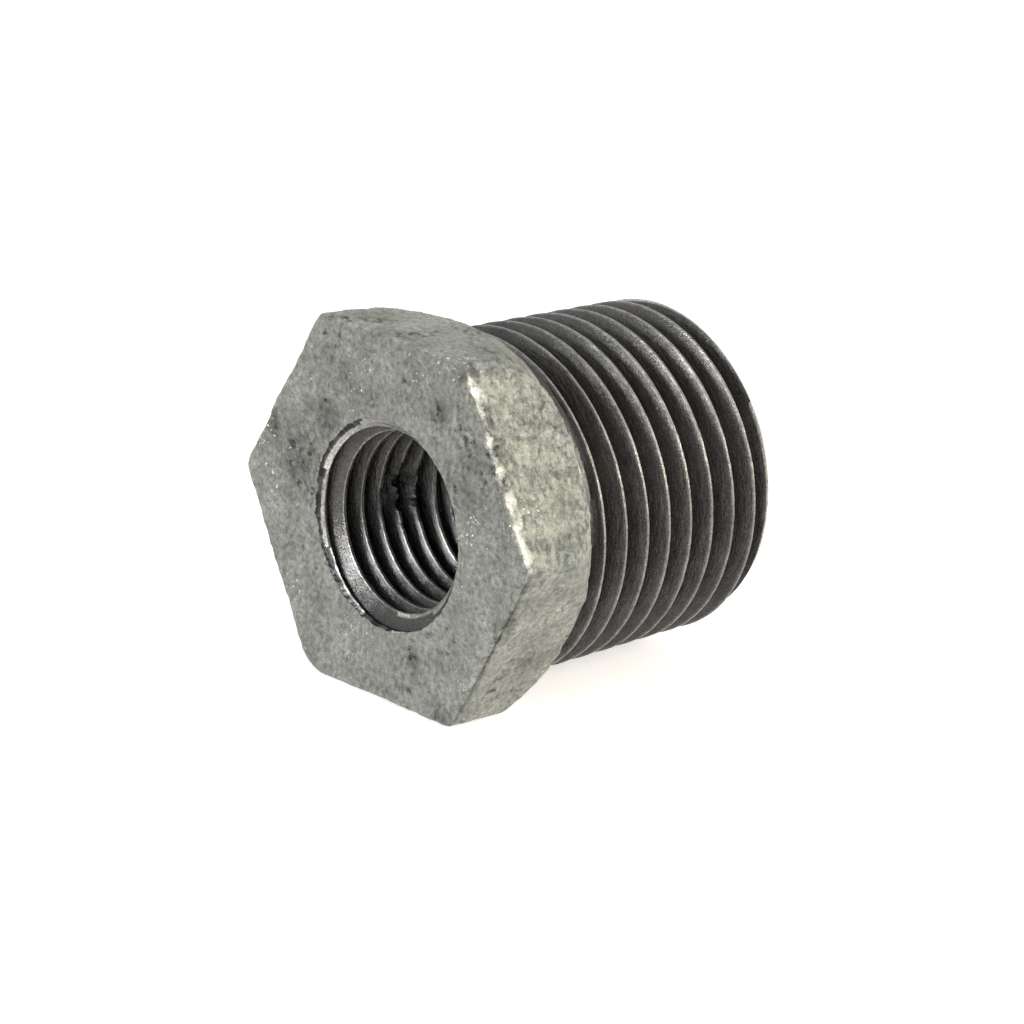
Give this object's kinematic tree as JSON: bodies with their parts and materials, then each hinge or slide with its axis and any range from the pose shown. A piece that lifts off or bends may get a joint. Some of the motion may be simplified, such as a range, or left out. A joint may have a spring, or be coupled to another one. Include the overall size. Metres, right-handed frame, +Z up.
{
  "type": "hex bushing",
  "caption": "One-piece reducing pipe bushing: a hexagon wrench head on a tapered, threaded shank, with a smaller tapered pipe thread tapped through the head.",
  "frame": {"origin": "on the thread axis, in the plane of the head's front face, where the inside thread's mouth opens", "axes": "+Y along the common thread axis from the head towards the small end of the shank; +Z up, square to two of the head's flats, the lower of which the part lies on; +X to the right seen from the front"},
  "size_m": [0.0265, 0.0231, 0.0232],
  "materials": {
    "galvanised_iron": "hot-dip galvanised casting, with bare machined threads"
  },
  "bodies": {
    "root": {"hex_bushing": "galvanised_iron"}
  },
  "joints": []
}
